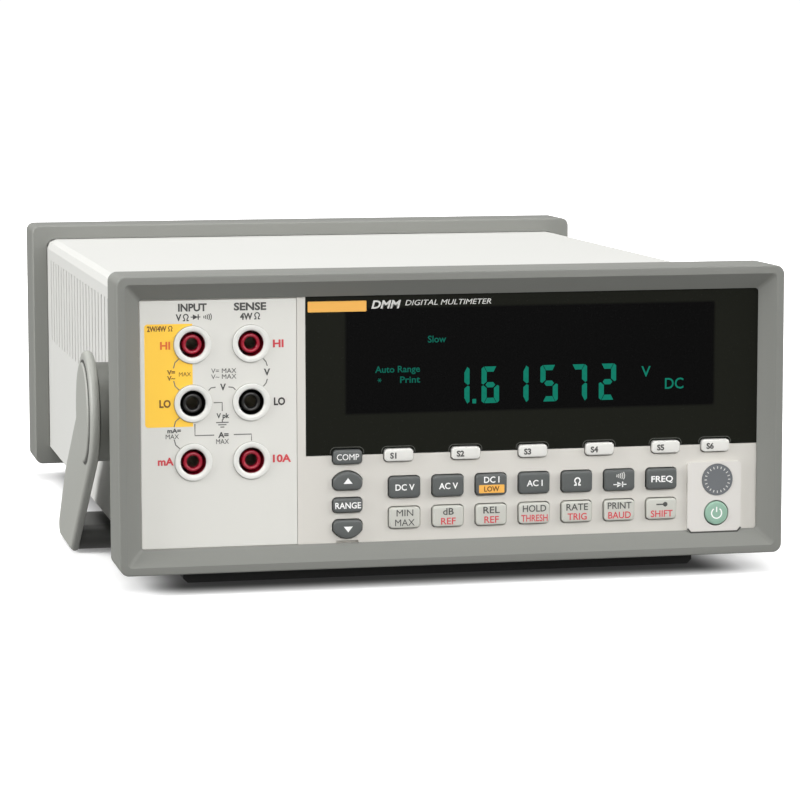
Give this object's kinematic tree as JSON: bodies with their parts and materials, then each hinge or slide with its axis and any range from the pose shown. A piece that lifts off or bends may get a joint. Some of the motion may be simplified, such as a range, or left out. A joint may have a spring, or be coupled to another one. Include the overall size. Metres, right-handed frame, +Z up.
{
  "type": "bench multimeter",
  "caption": "Half-rack bench multimeter: white sleeve with grey end bumpers, black display window, key rows, safety sockets at the left and a bail handle folded beneath.",
  "frame": {"origin": "centre of the footprint, on the surface that the feet stand on", "axes": "front faces -Y, +X to the right seen from the front, +Z up"},
  "size_m": [0.2364, 0.297, 0.1035],
  "materials": {
    "case_white": "painted, satin",
    "tray_steel": "galvanised",
    "bumper_grey": "satin elastomer",
    "panel_white": "fine moulded",
    "insert_white": "smooth",
    "lens_black": "polished, tinted",
    "vfd_glass": "sealed tube",
    "board_green": "solder mask",
    "silicone_grey": "soft",
    "seal_grey": "smooth",
    "ring_white": "moulded",
    "jack_red": "moulded",
    "jack_black": "moulded",
    "contact_brass": "plated",
    "boss_grey": "moulded",
    "handle_grey": "moulded",
    "foot_black": "matt",
    "rear_white": "painted",
    "inlet_black": "moulded",
    "fuse_glass": "clear",
    "port_metal": "nickel plated",
    "screw_steel": "plated",
    "core_steel": "varnished laminations",
    "fuse_ceramic": "matt",
    "key_dark": "moulded",
    "key_light": "moulded",
    "key_soft": "moulded",
    "power_green": "translucent moulded"
  },
  "bodies": {
    "case": {"case_sleeve": "case_white", "chassis_tray": "tray_steel", "front_bumper": "bumper_grey", "rear_bumper": "bumper_grey", "front_panel": "panel_white", "jack_panel": "insert_white", "display_lens": "lens_black", "vfd_tube": "vfd_glass", "display_board": "board_green", "dome_mat": "silicone_grey", "power_plate": "panel_white", "calibration_seal": "seal_grey", "jack_rings": "ring_white", "jack_input_hi": "jack_red", "jack_input_lo": "jack_black", "jack_sense_hi": "jack_red", "jack_sense_lo": "jack_black", "jack_ma": "jack_red", "jack_10a": "jack_red", "jack_contacts": "contact_brass", "pivot_bosses": "boss_grey", "front_foot": "foot_black", "rear_feet": "foot_black", "rear_panel": "rear_white", "mains_inlet": "inlet_black", "serial_port": "port_metal", "ground_screw": "contact_brass", "main_board": "board_green", "transformer": "core_steel", "current_fuses": "fuse_ceramic", "board_standoffs": "contact_brass", "panel_screws": "screw_steel"},
    "handle": {"carry_handle": "handle_grey"},
    "fuse_holder": {"fuse_drawer": "inlet_black", "mains_fuse": "fuse_glass"},
    "key_comp": {"key_comp": "key_dark"},
    "key_up": {"key_up": "key_dark"},
    "key_range": {"key_range": "key_dark"},
    "key_down": {"key_down": "key_dark"},
    "key_dc_volts": {"key_dc_volts": "key_dark"},
    "key_ac_volts": {"key_ac_volts": "key_dark"},
    "key_dc_amps": {"key_dc_amps": "key_dark"},
    "key_ac_amps": {"key_ac_amps": "key_dark"},
    "key_ohms": {"key_ohms": "key_dark"},
    "key_continuity": {"key_continuity": "key_dark"},
    "key_frequency": {"key_frequency": "key_dark"},
    "key_min_max": {"key_min_max": "key_light"},
    "key_decibel": {"key_decibel": "key_light"},
    "key_relative": {"key_relative": "key_light"},
    "key_hold": {"key_hold": "key_light"},
    "key_rate": {"key_rate": "key_light"},
    "key_print": {"key_print": "key_light"},
    "key_shift": {"key_shift": "key_light"},
    "softkey_1": {"softkey_1": "key_soft"},
    "softkey_2": {"softkey_2": "key_soft"},
    "softkey_3": {"softkey_3": "key_soft"},
    "softkey_4": {"softkey_4": "key_soft"},
    "softkey_5": {"softkey_5": "key_soft"},
    "softkey_6": {"softkey_6": "key_soft"},
    "power_button": {"power_button": "power_green"}
  },
  "joints": [
    {"name": "handle_pivot", "type": "hinge", "parent": "case", "child": "handle", "pos_m": [0, -0.1035, 0.05525], "axis": [-1, 0, 0], "range_deg": [0, 233]},
    {"name": "fuse_drawer_slide", "type": "slide", "parent": "case", "child": "fuse_holder", "axis": [0, 1, 0], "range_m": [0, 0.02]},
    {"name": "key_comp_press", "type": "slide", "parent": "case", "child": "key_comp", "axis": [0, 1, 0], "range_m": [0, 0.001], "stiffness_N_per_m": 600, "springref_m": -0.0003},
    {"name": "key_up_press", "type": "slide", "parent": "case", "child": "key_up", "axis": [0, 1, 0], "range_m": [0, 0.001], "stiffness_N_per_m": 600, "springref_m": -0.0003},
    {"name": "key_range_press", "type": "slide", "parent": "case", "child": "key_range", "axis": [0, 1, 0], "range_m": [0, 0.001], "stiffness_N_per_m": 600, "springref_m": -0.0003},
    {"name": "key_down_press", "type": "slide", "parent": "case", "child": "key_down", "axis": [0, 1, 0], "range_m": [0, 0.001], "stiffness_N_per_m": 600, "springref_m": -0.0003},
    {"name": "key_dc_volts_press", "type": "slide", "parent": "case", "child": "key_dc_volts", "axis": [0, 1, 0], "range_m": [0, 0.001], "stiffness_N_per_m": 600, "springref_m": -0.0003},
    {"name": "key_ac_volts_press", "type": "slide", "parent": "case", "child": "key_ac_volts", "axis": [0, 1, 0], "range_m": [0, 0.001], "stiffness_N_per_m": 600, "springref_m": -0.0003},
    {"name": "key_dc_amps_press", "type": "slide", "parent": "case", "child": "key_dc_amps", "axis": [0, 1, 0], "range_m": [0, 0.001], "stiffness_N_per_m": 600, "springref_m": -0.0003},
    {"name": "key_ac_amps_press", "type": "slide", "parent": "case", "child": "key_ac_amps", "axis": [0, 1, 0], "range_m": [0, 0.001], "stiffness_N_per_m": 600, "springref_m": -0.0003},
    {"name": "key_ohms_press", "type": "slide", "parent": "case", "child": "key_ohms", "axis": [0, 1, 0], "range_m": [0, 0.001], "stiffness_N_per_m": 600, "springref_m": -0.0003},
    {"name": "key_continuity_press", "type": "slide", "parent": "case", "child": "key_continuity", "axis": [0, 1, 0], "range_m": [0, 0.001], "stiffness_N_per_m": 600, "springref_m": -0.0003},
    {"name": "key_frequency_press", "type": "slide", "parent": "case", "child": "key_frequency", "axis": [0, 1, 0], "range_m": [0, 0.001], "stiffness_N_per_m": 600, "springref_m": -0.0003},
    {"name": "key_min_max_press", "type": "slide", "parent": "case", "child": "key_min_max", "axis": [0, 1, 0], "range_m": [0, 0.001], "stiffness_N_per_m": 600, "springref_m": -0.0003},
    {"name": "key_decibel_press", "type": "slide", "parent": "case", "child": "key_decibel", "axis": [0, 1, 0], "range_m": [0, 0.001], "stiffness_N_per_m": 600, "springref_m": -0.0003},
    {"name": "key_relative_press", "type": "slide", "parent": "case", "child": "key_relative", "axis": [0, 1, 0], "range_m": [0, 0.001], "stiffness_N_per_m": 600, "springref_m": -0.0003},
    {"name": "key_hold_press", "type": "slide", "parent": "case", "child": "key_hold", "axis": [0, 1, 0], "range_m": [0, 0.001], "stiffness_N_per_m": 600, "springref_m": -0.0003},
    {"name": "key_rate_press", "type": "slide", "parent": "case", "child": "key_rate", "axis": [0, 1, 0], "range_m": [0, 0.001], "stiffness_N_per_m": 600, "springref_m": -0.0003},
    {"name": "key_print_press", "type": "slide", "parent": "case", "child": "key_print", "axis": [0, 1, 0], "range_m": [0, 0.001], "stiffness_N_per_m": 600, "springref_m": -0.0003},
    {"name": "key_shift_press", "type": "slide", "parent": "case", "child": "key_shift", "axis": [0, 1, 0], "range_m": [0, 0.001], "stiffness_N_per_m": 600, "springref_m": -0.0003},
    {"name": "softkey_1_press", "type": "slide", "parent": "case", "child": "softkey_1", "axis": [0, 1, 0], "range_m": [0, 0.001], "stiffness_N_per_m": 600, "springref_m": -0.0003},
    {"name": "softkey_2_press", "type": "slide", "parent": "case", "child": "softkey_2", "axis": [0, 1, 0], "range_m": [0, 0.001], "stiffness_N_per_m": 600, "springref_m": -0.0003},
    {"name": "softkey_3_press", "type": "slide", "parent": "case", "child": "softkey_3", "axis": [0, 1, 0], "range_m": [0, 0.001], "stiffness_N_per_m": 600, "springref_m": -0.0003},
    {"name": "softkey_4_press", "type": "slide", "parent": "case", "child": "softkey_4", "axis": [0, 1, 0], "range_m": [0, 0.001], "stiffness_N_per_m": 600, "springref_m": -0.0003},
    {"name": "softkey_5_press", "type": "slide", "parent": "case", "child": "softkey_5", "axis": [0, 1, 0], "range_m": [0, 0.001], "stiffness_N_per_m": 600, "springref_m": -0.0003},
    {"name": "softkey_6_press", "type": "slide", "parent": "case", "child": "softkey_6", "axis": [0, 1, 0], "range_m": [0, 0.001], "stiffness_N_per_m": 600, "springref_m": -0.0003},
    {"name": "power_button_press", "type": "slide", "parent": "case", "child": "power_button", "axis": [0, 1, 0], "range_m": [0, 0.001], "stiffness_N_per_m": 600, "springref_m": -0.0003}
  ]
}
